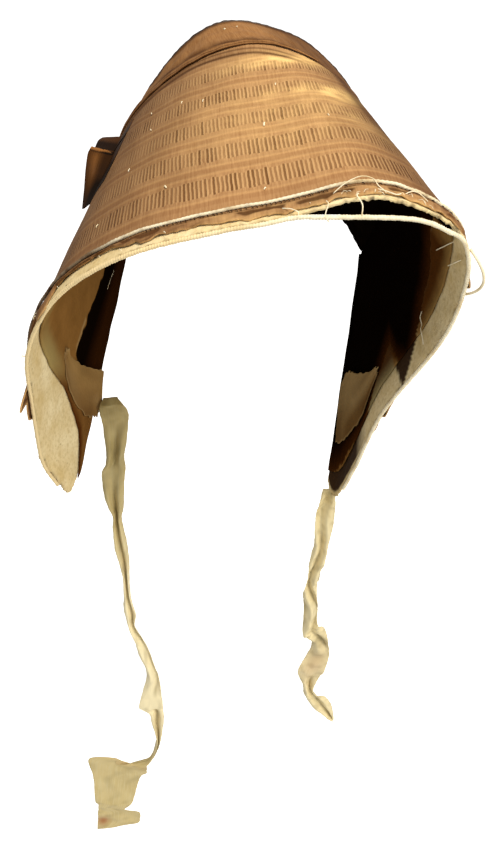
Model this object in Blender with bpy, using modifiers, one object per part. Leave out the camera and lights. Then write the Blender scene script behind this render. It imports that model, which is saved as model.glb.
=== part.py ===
"""A poke bonnet: a figured silk brim on a board, a plain silk crown, a bow and two ties.

Run with: blender --background --python part.py
Metres, +Z up. The front opening looks along -Y. The origin is the spot on the lining's top
that bears on the head. Every piece is one object with its own material, in the collection
"poke_bonnet", and the pieces keep a small gap where they lie on each other.
"""

import bpy
import bmesh
import numpy as np

# Clearance between pieces that lie on each other, and between the brim's curved layers
GAP = 0.0003
LAYER_GAP = 0.0005

# The form: half widths, reaches from the origin and depths below it at the brim's free edge,
# at the seam of brim and crown, and at the flat tip that closes the crown
EDGE_HALF_WIDTH = 0.1335
EDGE_FORWARD = 0.132
EDGE_DEPTH = 0.262
SEAM_HALF_WIDTH = 0.095
SEAM_BACK = 0.092
SEAM_DEPTH = 0.148
TIP_HALF_WIDTH = 0.084
TIP_BACK = 0.128
TIP_DEPTH = 0.136

# Walls and rounds of the layers, from the outside in
COVER_WALL = 0.0010
BOARD_WALL = 0.0014
LINING_WALL = 0.0010
CROWN_WALL = 0.0016
SEAM_SETBACK = 0.0014
TIP_WALL = 0.0014
TIP_BULGE = 0.004
BAND_WALL = 0.0010
BAND_WIDTH = 0.0095
WIRE_RADIUS = 0.0013
WIRE_DROP = 0.0095
CORD_RADIUS = 0.0012
CORD_INSET = 0.0115
BINDING_INSET = 0.0045
PIPING_RADIUS = 0.0014

# Loose soft pieces
FLAP_WALL = 0.0009
FLAP_CURL = 0.0025
BOW_REACH = 0.025
BOW_WALL = 0.0012
TIE_WALL = 0.0010
TIE_WIDTH = 0.020
LEFT_TIE_LENGTH = 0.515
RIGHT_TIE_LENGTH = 0.267

# Columns of faces in one step of the form's table, and rows of faces over the brim
STEPS_PER_ROW = 3
BRIM_STEPS = 7
BINDING_STEPS = 2
CROWN_STEPS = 3

# The form from the lower end of the left cheek over the top to that of the right cheek.
# Shares of the sizes above: across, forward and up at the edge, across, back and up at the
# seam, the same at the tip, and how far the lining reaches over the brim toward the edge.
FORM_COLUMNS = (
    "edge_across", "edge_forward", "edge_up",
    "seam_across", "seam_back", "seam_up",
    "tip_across", "tip_back", "tip_up", "lining_reach",
)
FORM_ROWS = (
    (-1.00, 0.455, -1.01, -1.05, 0.94, -0.91, -0.88, 0.98, -0.89, 0.84),
    (-1.02, 0.49, -0.96, -1.05, 0.96, -0.84, -0.91, 0.99, -0.84, 0.79),
    (-1.07, 0.60, -0.80, -1.04, 0.99, -0.70, -0.97, 1.00, -0.69, 0.76),
    (-1.03, 0.72, -0.58, -1.01, 1.02, -0.49, -1.01, 0.99, -0.46, 0.87),
    (-0.98, 0.80, -0.415, -0.95, 1.03, -0.29, -0.97, 0.98, -0.25, 0.93),
    (-0.80, 0.88, -0.26, -0.76, 1.03, -0.13, -0.80, 0.96, -0.09, 0.95),
    (-0.50, 0.955, -0.15, -0.48, 0.94, 0.02, -0.55, 0.94, 0.07, 0.96),
    (-0.19, 0.98, -0.10, -0.19, 0.81, 0.12, -0.31, 0.93, 0.16, 0.96),
    (0.14, 0.985, -0.065, 0.08, 0.71, 0.15, -0.09, 0.93, 0.18, 0.96),
    (0.45, 0.975, -0.03, 0.32, 0.61, 0.12, 0.18, 0.93, 0.15, 0.95),
    (0.70, 0.93, -0.07, 0.58, 0.49, 0.04, 0.47, 0.94, 0.08, 0.95),
    (0.86, 0.87, -0.145, 0.78, 0.40, -0.08, 0.73, 0.95, -0.05, 0.91),
    (0.90, 0.81, -0.27, 0.91, 0.35, -0.21, 0.92, 0.97, -0.20, 0.88),
    (0.85, 0.72, -0.43, 0.99, 0.40, -0.39, 1.01, 0.99, -0.41, 0.88),
    (0.66, 0.62, -0.65, 1.02, 0.56, -0.61, 0.97, 1.00, -0.63, 0.90),
    (0.57, 0.52, -0.86, 0.98, 0.73, -0.79, 0.93, 0.99, -0.80, 0.91),
    (0.50, 0.47, -0.985, 0.95, 0.84, -0.89, 0.90, 0.99, -0.86, 0.91),
    (0.43, 0.44, -1.03, 0.94, 0.86, -0.91, 0.88, 0.98, -0.89, 0.88),
)
LAST_ROW = len(FORM_ROWS) - 1

# The brim's free edge is cut round at the low end of each cheek, over this many rows and
# by this share of the brim's length
CHEEK_ROUND_ROWS = 1.0
CHEEK_ROUND_SHARE = 0.08

# The bow, from its inner fold over the lip to its hanging end: place on the brim from the
# seam, how far behind that place, and reach to the side as a share of BOW_REACH
BOW_COLUMNS = ("along", "behind", "reach")
BOW_ROWS = (
    (0.22, 0.50, 0.60),
    (0.17, 0.46, 0.80),
    (0.12, 0.24, 0.92),
    (0.12, 0.04, 1.00),
    (0.16, 0.00, 1.02),
    (0.22, 0.00, 0.90),
    (0.28, 0.00, 0.72),
    (0.34, 0.00, 0.50),
    (0.40, 0.00, 0.26),
)
BOW_FORM_ROW = 4.25

# The ties, from the sewn end down: drop as a share of the tie's length, sway of the middle
# to the side and forward as shares of TIE_WIDTH, and width as a share of TIE_WIDTH
TIE_COLUMNS = ("drop", "sway_across", "sway_forward", "width", "turn")
LEFT_TIE_ROWS = (
    (0.000, 0.45, 0.00, 0.88, 0.00),
    (0.040, 0.48, 0.10, 0.87, 0.10),
    (0.105, 0.40, 0.25, 0.78, 0.20),
    (0.155, 0.40, 0.40, 0.54, 0.30),
    (0.190, 0.39, 0.55, 0.40, 0.40),
    (0.248, 0.50, 0.75, 0.34, 0.30),
    (0.307, 0.58, 0.95, 0.27, 0.20),
    (0.369, 0.67, 1.15, 0.32, 0.25),
    (0.421, 0.80, 1.30, 0.50, 0.30),
    (0.468, 1.03, 1.45, 0.38, 0.20),
    (0.527, 1.26, 1.60, 0.52, 0.25),
    (0.576, 1.37, 1.75, 0.70, 0.20),
    (0.628, 1.38, 1.85, 0.54, 0.30),
    (0.693, 1.24, 1.95, 0.27, 0.20),
    (0.735, 1.10, 2.00, 0.28, 0.10),
    (0.769, -0.02, 2.00, 1.38, 0.00),
    (0.790, -0.88, 2.00, 2.50, 0.00),
    (0.853, -1.20, 2.02, 2.20, 0.05),
    (0.914, -1.40, 2.05, 1.66, 0.10),
    (0.955, -1.29, 2.06, 2.12, 0.05),
    (1.000, -1.40, 2.08, 2.18, 0.00),
)
RIGHT_TIE_ROWS = (
    (0.000, -0.08, 0.00, 0.66, 0.00),
    (0.053, -0.21, 0.00, 0.72, 0.10),
    (0.160, -0.27, -0.02, 0.62, 0.20),
    (0.257, -0.38, -0.04, 0.52, 0.35),
    (0.372, -0.56, -0.04, 0.64, 0.25),
    (0.478, -0.54, -0.02, 0.62, 0.10),
    (0.558, -0.34, 0.02, 0.92, 0.15),
    (0.620, -0.10, 0.04, 0.86, 0.35),
    (0.690, -0.12, 0.04, 0.98, 0.25),
    (0.770, -0.38, 0.02, 1.14, 0.10),
    (0.840, -0.26, 0.02, 0.90, 0.25),
    (0.925, 0.10, 0.04, 1.02, 0.15),
    (1.000, 0.50, 0.06, 0.50, 0.00),
)


def clear_scene():
    """Remove every object of the file."""
    for old in list(bpy.data.objects):
        bpy.data.objects.remove(old, do_unlink=True)


def new_collection(name):
    """A collection linked to the scene."""
    collection = bpy.data.collections.new(name)
    bpy.context.scene.collection.children.link(collection)
    return collection


def new_material(name, colour, roughness):
    """A Principled material of one linear colour."""
    material = bpy.data.materials.new(name)
    material.use_nodes = True
    shader = material.node_tree.nodes["Principled BSDF"]
    shader.inputs["Base Color"].default_value = (*colour, 1.0)
    shader.inputs["Roughness"].default_value = roughness
    material.diffuse_color = (*colour, 1.0)
    return material


def curve_through(rows, place):
    """Smooth curve through rows of values, read at places counted in rows.

    Catmull-Rom inside the table and straight on past its two ends.
    """
    rows = np.asarray(rows, dtype=float)
    place = np.asarray(place, dtype=float)
    last = len(rows) - 1
    inside = np.clip(place, 0.0, last)
    first = np.minimum(inside.astype(int), last - 1)
    part = (inside - first)[..., None]
    before = rows[np.maximum(first - 1, 0)]
    start = rows[first]
    end = rows[first + 1]
    after = rows[np.minimum(first + 2, last)]
    linear = (end - before) * part
    square = (2.0 * before - 5.0 * start + 4.0 * end - after) * part ** 2
    cubic = (3.0 * start - before - 3.0 * end + after) * part ** 3
    smooth = 0.5 * (2.0 * start + linear + square + cubic)
    past_start = np.minimum(place, 0.0)[..., None] * (rows[1] - rows[0])
    past_end = np.maximum(place - last, 0.0)[..., None] * (rows[last] - rows[last - 1])
    return smooth + past_start + past_end


def form_lines(row):
    """Points of the edge, the seam and the tip at a place along the form's table."""
    shares = curve_through(FORM_ROWS, row)
    scales = np.array([
        [EDGE_HALF_WIDTH, -EDGE_FORWARD, EDGE_DEPTH],
        [SEAM_HALF_WIDTH, SEAM_BACK, SEAM_DEPTH],
        [TIP_HALF_WIDTH, TIP_BACK, TIP_DEPTH],
    ])
    points = shares[..., :9].reshape(*shares.shape[:-1], 3, 3) * scales
    points[..., 2] -= COVER_WALL + BOARD_WALL + LINING_WALL + LAYER_GAP
    return points[..., 0, :], points[..., 1, :], points[..., 2, :]


def form_skin(row, reach):
    """Outer skin: reach is 1 at the brim's edge, 0 at the seam and -1 at the crown's tip."""
    edge, seam, tip = form_lines(row)
    reach = np.asarray(reach, dtype=float)[..., None]
    brim = seam + (edge - seam) * np.maximum(reach, 0.0)
    return brim + (tip - seam) * np.maximum(-reach, 0.0)


def form_frame(row, reach):
    """Outward normal of the skin and the direction along it toward the edge."""
    step = 0.02
    ahead = np.minimum(reach + step, 1.2)
    behind = np.maximum(reach - step, -1.0)
    toward_edge = form_skin(row, ahead) - form_skin(row, behind)
    toward_edge /= np.linalg.norm(toward_edge, axis=-1, keepdims=True)
    along = form_skin(row + step, reach) - form_skin(row - step, reach)
    normal = np.cross(toward_edge, along)
    normal /= np.linalg.norm(normal, axis=-1, keepdims=True)
    return normal, toward_edge


def form_point(row, reach, depth):
    """Point at a depth under the skin, measured along its normal."""
    row, reach = np.broadcast_arrays(np.asarray(row, float), np.asarray(reach, float))
    normal, _ = form_frame(row, reach)
    return form_skin(row, reach) - normal * np.asarray(depth, float)[..., None]


def brim_length(row):
    """Length of the brim from seam to edge."""
    edge, seam, _ = form_lines(row)
    return np.linalg.norm(edge - seam, axis=-1)


def link(obj, collection, material):
    """Give an object its material and its collection."""
    obj.data.materials.append(material)
    collection.objects.link(obj)
    return obj


def add_sheet(name, place, columns, rows, wall, collection, material, flip=False):
    """A grid whose points place(along, across) sets, with its wall added by Solidify.

    The wall grows toward the cross product of the ways along and across, or away from it
    with flip.
    """
    mesh_builder = bmesh.new()
    bmesh.ops.create_grid(mesh_builder, x_segments=columns, y_segments=rows, size=1.0)
    flat = np.array([vertex.co[:] for vertex in mesh_builder.verts])
    points = place((flat[:, 0] + 1.0) / 2.0, (flat[:, 1] + 1.0) / 2.0)
    if not flip:
        bmesh.ops.reverse_faces(mesh_builder, faces=mesh_builder.faces)
    for vertex, point in zip(mesh_builder.verts, points):
        vertex.co = point
    bmesh.ops.remove_doubles(mesh_builder, verts=mesh_builder.verts, dist=0.00005)
    mesh = bpy.data.meshes.new(name)
    mesh_builder.to_mesh(mesh)
    mesh_builder.free()
    sheet = bpy.data.objects.new(name, mesh)
    solidify = sheet.modifiers.new("Wall", "SOLIDIFY")
    solidify.thickness = wall
    solidify.offset = -1.0
    return link(sheet, collection, material)


def add_tube(name, points, radius, collection, material):
    """A tube along points: a poly curve with a round bevel and filled caps."""
    curve = bpy.data.curves.new(name, "CURVE")
    curve.dimensions = "3D"
    curve.bevel_depth = radius
    curve.bevel_resolution = 1
    curve.use_fill_caps = True
    spline = curve.splines.new("POLY")
    spline.points.add(len(points) - 1)
    for target, point in zip(spline.points, points):
        target.co = (*point, 1.0)
    return link(bpy.data.objects.new(name, curve), collection, material)


def add_brim_layer(name, depth, wall, reach_from, reach_to, steps, collection, material):
    """A layer of the brim under the skin, between two reaches that may change by row."""
    def place(along, across):
        row = along * LAST_ROW
        start = reach_from(row)
        reach = start + (reach_to(row) - start) * across
        return form_point(row, reach, depth)
    columns = LAST_ROW * STEPS_PER_ROW
    return add_sheet(name, place, columns, steps, wall, collection, material)


def seam_clear(row):
    """Reach that keeps a brim layer clear of the crown at the seam."""
    return GAP / brim_length(row)


def inner_seam_clear(row):
    """Reach that keeps the board and the lining clear of the crown's inner side."""
    return SEAM_SETBACK / brim_length(row)


def cheek_cut(row):
    """Share of the brim's length that the round low end of a cheek takes off."""
    from_end = np.minimum(row, LAST_ROW - row) / CHEEK_ROUND_ROWS
    left_over = np.clip(1.0 - from_end, 0.0, 1.0)
    return CHEEK_ROUND_SHARE * left_over ** 2


def cord_reach(row):
    """Reach of the cord that lies inside the edge."""
    return 1.0 - cheek_cut(row) - CORD_INSET / brim_length(row)


def binding_reach(row):
    """Reach of the binding's outer side, which leaves the board's edge bare."""
    return 1.0 - cheek_cut(row) - BINDING_INSET / brim_length(row)


def lining_reach(row):
    """Reach of the lining, from the form's table."""
    return curve_through(FORM_ROWS, row)[..., FORM_COLUMNS.index("lining_reach")]


def add_brim(collection, materials):
    """Cover, binding, board and lining, from the outside in."""
    board_depth = COVER_WALL + LAYER_GAP
    lining_depth = board_depth + BOARD_WALL + LAYER_GAP
    beyond_cord = lambda row: cord_reach(row) + (GAP + CORD_RADIUS) / brim_length(row)
    before_cord = lambda row: cord_reach(row) + CORD_RADIUS / brim_length(row)
    full = lambda row: 1.0 - cheek_cut(row)
    add_brim_layer(
        "brim_cover", 0.0, COVER_WALL, seam_clear, before_cord, BRIM_STEPS, collection,
        materials["silk"])
    add_brim_layer(
        "edge_binding", 0.0, COVER_WALL, beyond_cord, binding_reach, BINDING_STEPS, collection,
        materials["silk"])
    add_brim_layer(
        "brim_board", board_depth, BOARD_WALL, inner_seam_clear, full, BRIM_STEPS, collection,
        materials["board"])
    add_brim_layer(
        "brim_lining", lining_depth, LINING_WALL, inner_seam_clear, lining_reach, BRIM_STEPS,
        collection, materials["lining"])


def add_edge_wire(collection, materials):
    """The wire along the board's edge; it sags away from it on the right of the top."""
    row = np.linspace(1.3, LAST_ROW - 1.3, 76)
    middle = COVER_WALL + LAYER_GAP + BOARD_WALL / 2.0
    _, toward_edge = form_frame(row, np.ones_like(row))
    points = form_point(row, np.ones_like(row), middle)
    points += toward_edge * (WIRE_RADIUS + GAP)
    sag_middle = 9.45
    sag_half_length = 1.35
    sag = np.clip(1.0 - ((row - sag_middle) / sag_half_length) ** 2, 0.0, 1.0)
    points[:, 2] -= WIRE_DROP * sag
    add_tube("edge_wire", points, WIRE_RADIUS, collection, materials["thread"])


def add_edge_cord(collection, materials):
    """The cord on the cover, from cheek to cheek."""
    row = np.linspace(2.0, LAST_ROW - 2.5, 62)
    points = form_point(row, cord_reach(row), -(CORD_RADIUS + GAP))
    add_tube("edge_cord", points, CORD_RADIUS, collection, materials["thread"])


def add_crown(collection, materials):
    """Side, tip and piping of the crown, and the folded band on the brim at the seam."""
    def side(along, across):
        row = along * LAST_ROW
        crown_length = np.linalg.norm(form_lines(row)[2] - form_lines(row)[1], axis=-1)
        reach = -1.0 + across * (1.0 - GAP / crown_length)
        return form_point(row, reach, np.zeros_like(row))
    add_sheet("crown_side", side, LAST_ROW * STEPS_PER_ROW, CROWN_STEPS, CROWN_WALL,
              collection, materials["plain"])

    arch_share = 0.88
    tip_depth = CROWN_WALL + GAP
    first, last = form_point([0.0, LAST_ROW], [-1.0, -1.0], tip_depth)
    arch = form_point(np.arange(LAST_ROW + 1.0), -1.0, tip_depth)
    centre = (arch.max(axis=0) + arch.min(axis=0)) / 2.0

    def tip(along, across):
        row = np.clip(along / arch_share, 0.0, 1.0) * LAST_ROW
        chord = np.clip((along - arch_share) / (1.0 - arch_share), 0.0, 1.0)[:, None]
        rim = form_point(row, -1.0, tip_depth)
        rim = np.where(chord > 0.0, last + (first - last) * chord, rim)
        across = across[:, None]
        points = rim + (centre - rim) * across
        points[:, 1] += TIP_BULGE * (1.0 - (1.0 - across[:, 0]) ** 2)
        return points
    add_sheet("crown_tip", tip, 56, 3, TIP_WALL, collection, materials["plain"], flip=True)

    row = np.linspace(0.1, LAST_ROW - 0.1, 52)
    ends = np.full_like(row, -1.0)
    _, toward_edge = form_frame(row, ends)
    points = form_point(row, ends, CROWN_WALL / 2.0)
    points -= toward_edge * (PIPING_RADIUS + GAP)
    add_tube("crown_piping", points, PIPING_RADIUS, collection, materials["plain"])

    def band(along, across):
        row = 2.0 + along * 7.5
        narrowing = 1.0 - 0.8 * np.clip((row - 5.5) / 4.0, 0.0, 1.0)
        start = seam_clear(row)
        width = BAND_WIDTH * narrowing / brim_length(row)
        return form_point(row, start + width * across, -(BAND_WALL + GAP))
    add_sheet("crown_band", band, 22, 2, BAND_WALL, collection, materials["plain"])


def add_bow(collection, materials):
    """The ribbon loop that stands off the brim's left side next to the seam."""
    outward = np.array([-0.95, 0.0, -0.31])

    def place(along, across):
        rows = curve_through(BOW_ROWS, along * (len(BOW_ROWS) - 1))
        behind = rows[:, 1] * BOW_REACH
        reach = rows[:, 0] - behind / brim_length(np.array(BOW_FORM_ROW))
        row = np.full_like(reach, BOW_FORM_ROW)
        root = form_point(row, reach, -(BOW_WALL + GAP))
        return root + outward * (rows[:, 2] * BOW_REACH * across)[:, None]
    add_sheet("bow", place, 24, 3, BOW_WALL, collection, materials["plain"])


def flap_depth(rise, lining_depth):
    """Depth of the torn flap: it curls inward from the lining toward its low end."""
    return lining_depth + FLAP_CURL * (1.0 - rise) ** 2


def add_flaps_and_ties(collection, materials):
    """Torn lining flaps at both cheeks, with the tie that hangs from each."""
    inner = COVER_WALL + BOARD_WALL + LINING_WALL + 2.0 * LAYER_GAP + GAP

    def left_flap(along, across):
        row = 2.1 - 2.2 * along
        reach = 0.46 + across * (0.26 - 0.06 * along)
        return form_point(row, reach, flap_depth(1.0 - along, inner))
    add_sheet("lining_flap_left", left_flap, 10, 4, FLAP_WALL, collection,
              materials["lining"], flip=True)

    def right_flap(along, across):
        row = 16.2 - 2.0 * along
        reach = 0.57 + 0.15 * along + across * (0.22 - 0.10 * along)
        return form_point(row, reach, flap_depth(along, inner))
    add_sheet("lining_flap_right", right_flap, 10, 4, FLAP_WALL, collection,
              materials["lining"], flip=True)

    flap_corner = form_point([-0.10], [0.66], inner + FLAP_CURL + FLAP_WALL + GAP)[0]
    left_top = flap_corner + np.array([0.0, 0.0, 0.004])
    add_tie("tie_left", left_top, LEFT_TIE_ROWS, LEFT_TIE_LENGTH, collection, materials)

    low_rows = np.linspace(LAST_ROW - 1.0, LAST_ROW, 9)
    cheek = form_point(low_rows, 1.0 - cheek_cut(low_rows), COVER_WALL + LAYER_GAP + BOARD_WALL)
    right_top = cheek[np.argmin(cheek[:, 2])] - np.array([0.0, 0.0, GAP])
    add_tie("tie_right", right_top, RIGHT_TIE_ROWS, RIGHT_TIE_LENGTH, collection, materials)


def add_tie(name, top, rows, length, collection, materials):
    """A hanging ribbon below its sewn end, from its table of drops, sways and widths."""
    def place(along, across):
        table = curve_through(rows, along * (len(rows) - 1))
        side = (across - 0.5) * table[:, 3] * TIE_WIDTH
        points = np.empty((len(along), 3))
        points[:, 0] = top[0] + table[:, 1] * TIE_WIDTH + side * np.cos(table[:, 4])
        points[:, 1] = top[1] - table[:, 2] * TIE_WIDTH + side * np.sin(table[:, 4])
        points[:, 2] = top[2] - table[:, 0] * length
        return points
    steps = 2 * (len(rows) - 1)
    add_sheet(name, place, steps, 3, TIE_WALL, collection, materials["ribbon"])


def build():
    """Build the bonnet."""
    clear_scene()
    collection = new_collection("poke_bonnet")
    materials = {
        "silk": new_material("figured_brown_silk", (0.33, 0.17, 0.08), 0.55),
        "plain": new_material("plain_brown_silk", (0.30, 0.15, 0.07), 0.50),
        "board": new_material("cream_board", (0.66, 0.56, 0.38), 0.85),
        "lining": new_material("tan_lining", (0.36, 0.22, 0.11), 0.75),
        "thread": new_material("cream_thread", (0.72, 0.62, 0.43), 0.80),
        "ribbon": new_material("cream_silk_ribbon", (0.58, 0.48, 0.30), 0.60),
    }
    add_brim(collection, materials)
    add_edge_wire(collection, materials)
    add_edge_cord(collection, materials)
    add_crown(collection, materials)
    add_bow(collection, materials)
    add_flaps_and_ties(collection, materials)


build()
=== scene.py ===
"""The looks of a poke bonnet, piece by piece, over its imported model.

Metres, +Z up; the face opening looks along -Y. The origin is the spot on the lining's top
that bears on the head.
"""

import functools
import math

import bpy
import numpy as np
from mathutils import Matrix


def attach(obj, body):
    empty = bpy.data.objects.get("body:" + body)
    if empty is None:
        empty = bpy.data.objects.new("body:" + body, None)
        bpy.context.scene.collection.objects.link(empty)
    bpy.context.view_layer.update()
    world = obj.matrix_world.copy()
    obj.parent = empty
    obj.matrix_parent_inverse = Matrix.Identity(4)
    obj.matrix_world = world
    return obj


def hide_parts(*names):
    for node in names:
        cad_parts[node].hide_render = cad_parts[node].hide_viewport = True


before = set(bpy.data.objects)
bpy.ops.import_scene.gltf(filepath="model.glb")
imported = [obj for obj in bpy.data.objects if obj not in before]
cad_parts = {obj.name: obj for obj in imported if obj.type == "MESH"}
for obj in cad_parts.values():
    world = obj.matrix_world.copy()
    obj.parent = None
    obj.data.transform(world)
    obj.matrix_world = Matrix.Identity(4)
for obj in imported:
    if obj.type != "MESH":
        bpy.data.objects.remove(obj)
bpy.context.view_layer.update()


# Camera, floor and light
# The bonnet is held in the air over a pale floor and seen from above the brim's front, as
# it is worn. A soft key comes from above on the right, with a second light from the right
# front and a weak one from the front.

CAMERA_PLACE = (0.0, -0.5305, 0.1405)
CAMERA_DOWN_DEGREES = 36.0
FOCAL_PIXELS = 845.0
FRAME_HEIGHT_PIXELS = 850.0
SENSOR_MM = 36.0
FLOOR_HEIGHT = -0.775
FLOOR_HALF_SIDE = 14.0
# the white sky lights the bonnet with this strength, and the camera sees it at 1
SKY_LIGHT = 0.42
FLOOR_GLOW = 0.75


def linear(hex_colour):
    """sRGB hex to linear: each channel is ((c + 0.055) / 1.055) to the power 2.4."""
    channels = [int(hex_colour[place:place + 2], 16) / 255.0 for place in (1, 3, 5)]
    curve = [c / 12.92 if c <= 0.04045 else ((c + 0.055) / 1.055) ** 2.4 for c in channels]
    return (*curve, 1.0)


def new_material(name):
    """A node material with its Principled shader still as it comes."""
    material = bpy.data.materials.new(name)
    material.use_nodes = True
    return material


def add_node(material, kind, settings=(), inputs=()):
    """One node with its settings and its inputs, each input a value or a socket to link."""
    tree = material.node_tree
    node = tree.nodes.new(kind)
    for name, value in dict(settings).items():
        setattr(node, name, value)
    for name, value in dict(inputs).items():
        if isinstance(value, bpy.types.NodeSocket):
            tree.links.new(value, node.inputs[name])
        else:
            node.inputs[name].default_value = value
    return node


def math_node(material, operation, *values, clamp=False):
    """The output of a Math node over one to three values or sockets."""
    node = add_node(material, "ShaderNodeMath", {"operation": operation, "use_clamp": clamp},
                    dict(enumerate(values)))
    return node.outputs[0]


def mixed(material, factor, first, second):
    """A colour between two, each a hex colour or a socket."""
    first, second = (linear(hue) if isinstance(hue, str) else hue for hue in (first, second))
    return add_node(material, "ShaderNodeMix", {"data_type": "RGBA"}, {
        0: factor, 6: first, 7: second}).outputs[2]


def noise(material, place, scale, detail, roughness=0.5):
    """Noise over a place, about 0.5."""
    return add_node(material, "ShaderNodeTexNoise", {}, {
        "Vector": place, "Scale": scale, "Detail": detail,
        "Roughness": roughness}).outputs["Fac"]


def ramped(material, value, low, high, amount=1.0):
    """0 where a value is low, the amount where it is high, and straight in between."""
    return add_node(material, "ShaderNodeMapRange", {}, {
        0: value, 1: low, 2: high, 3: 0.0, 4: amount}).outputs[0]


def own_value(material, label):
    """A value that the piece carries at its points."""
    return add_node(material, "ShaderNodeAttribute", {"attribute_name": label}).outputs["Fac"]


def stained(material, colour, stains):
    """A colour under others: each (value's name, hex colour, amount if it is under 1)."""
    for label, hue, *amount in stains:
        factor = own_value(material, label)
        if amount:
            factor = math_node(material, "MULTIPLY", factor, *amount)
        colour = mixed(material, factor, colour, hue)
    return colour


def on_piece(material):
    """Place on the piece, in its own metres."""
    return add_node(material, "ShaderNodeTexCoord").outputs["Object"]


def on_cloth(material):
    """Place on the flat cloth, and its two numbers apart."""
    place = add_node(material, "ShaderNodeUVMap", {"uv_map": "cloth"}).outputs["UV"]
    parts = add_node(material, "ShaderNodeSeparateXYZ", {}, {0: place})
    return place, parts.outputs[0], parts.outputs[1]


def place_of(material, first, second):
    """A place from two numbers."""
    return add_node(material, "ShaderNodeCombineXYZ", {}, {0: first, 1: second}).outputs[0]


def finish_material(material, colour, roughness, gloss=0.5, height=None, distance=0.0):
    """Fill the shader: a colour, hex or socket, roughness, specular level and bump height."""
    shader = material.node_tree.nodes["Principled BSDF"]
    if isinstance(colour, str):
        shader.inputs["Base Color"].default_value = linear(colour)
    else:
        material.node_tree.links.new(colour, shader.inputs["Base Color"])
    shader.inputs["Roughness"].default_value = roughness
    shader.inputs["Specular IOR Level"].default_value = gloss
    if height is not None:
        bump = add_node(material, "ShaderNodeBump", {}, {
            "Height": height, "Distance": distance, "Strength": 1.0})
        material.node_tree.links.new(bump.outputs["Normal"], shader.inputs["Normal"])
    return shader


def add_light(name, place, target, side, power, colour):
    """A square soft light turned to its target."""
    data = bpy.data.lights.new(name, "AREA")
    data.size = side
    data.energy = power
    data.color = linear(colour)[:3]
    light = bpy.data.objects.new(name, data)
    bpy.context.scene.collection.objects.link(light)
    light.location = place
    way = np.array(target) - np.array(place)
    light.rotation_euler = (math.pi / 2 + math.atan2(way[2], math.hypot(way[0], way[1])), 0.0,
                            math.atan2(way[1], way[0]) - math.pi / 2)


camera_data = bpy.data.cameras.new("camera")
camera_data.sensor_width = SENSOR_MM
camera_data.lens = SENSOR_MM * FOCAL_PIXELS / FRAME_HEIGHT_PIXELS
camera = bpy.data.objects.new("camera", camera_data)
camera.location = CAMERA_PLACE
camera.rotation_euler = (math.radians(90.0 - CAMERA_DOWN_DEGREES), 0.0, 0.0)
bpy.context.scene.collection.objects.link(camera)
bpy.context.scene.camera = camera

add_light("key", (0.12, -0.42, 1.25), (0.0, -0.02, -0.08), 0.5, 20.0, "#FFF8EC")
add_light("right_front", (1.15, -0.95, 0.35), (-0.05, 0.0, -0.15), 0.8, 12.5, "#FFFAF0")
add_light("front_low", (0.0, -1.5, 0.0), (0.0, 0.0, -0.35), 0.8, 2.0, "#FFFFFF")

world = bpy.data.worlds.new("studio")
world.use_nodes = True
sky = world.node_tree.nodes["Background"]
sky.inputs["Color"].default_value = (1.0, 1.0, 1.0, 1.0)
seen_by_camera = add_node(world, "ShaderNodeLightPath").outputs["Is Camera Ray"]
world.node_tree.links.new(
    math_node(world, "MULTIPLY_ADD", seen_by_camera, 1.0 - SKY_LIGHT, SKY_LIGHT),
    sky.inputs["Strength"])
bpy.context.scene.world = world

floor_mesh = bpy.data.meshes.new("floor")
floor_mesh.from_pydata(
    [(x * FLOOR_HALF_SIDE, y * FLOOR_HALF_SIDE, FLOOR_HEIGHT)
     for x, y in ((-1, -1), (1, -1), (1, 1), (-1, 1))], [], [(0, 1, 2, 3)])
floor = bpy.data.objects.new("floor", floor_mesh)
bpy.context.scene.collection.objects.link(floor)
paper = new_material("white_studio_paper")
paper_shader = finish_material(paper, "#FBFBF9", 0.9, 0.1)
paper_shader.inputs["Emission Color"].default_value = (1.0, 1.0, 1.0, 1.0)
seen_by_camera = add_node(paper, "ShaderNodeLightPath").outputs["Is Camera Ray"]
paper.node_tree.links.new(math_node(paper, "MULTIPLY", seen_by_camera, FLOOR_GLOW),
                          paper_shader.inputs["Emission Strength"])
floor.data.materials.append(paper)


# Brim cover
# Brown silk woven with bands of short dark dashes between pairs of fine pale lines, laid
# flat over the board and worn in places, with painted sheen on the top and painted shade
# toward both sides. Its front is held under the cord.

GAP = 0.0003
LAYER_GAP = 0.0005
EDGE_SIZES = (0.1335, -0.132, 0.262)
SEAM_SIZES = (0.095, 0.092, 0.148)
TIP_SIZES = (0.084, 0.128, 0.136)
COVER_WALL = 0.0010
BOARD_WALL = 0.0014
LINING_WALL = 0.0010
CORD_RADIUS = 0.0012
CORD_INSET = 0.0115
CHEEK_ROUND_SHARE = 0.08

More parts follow.
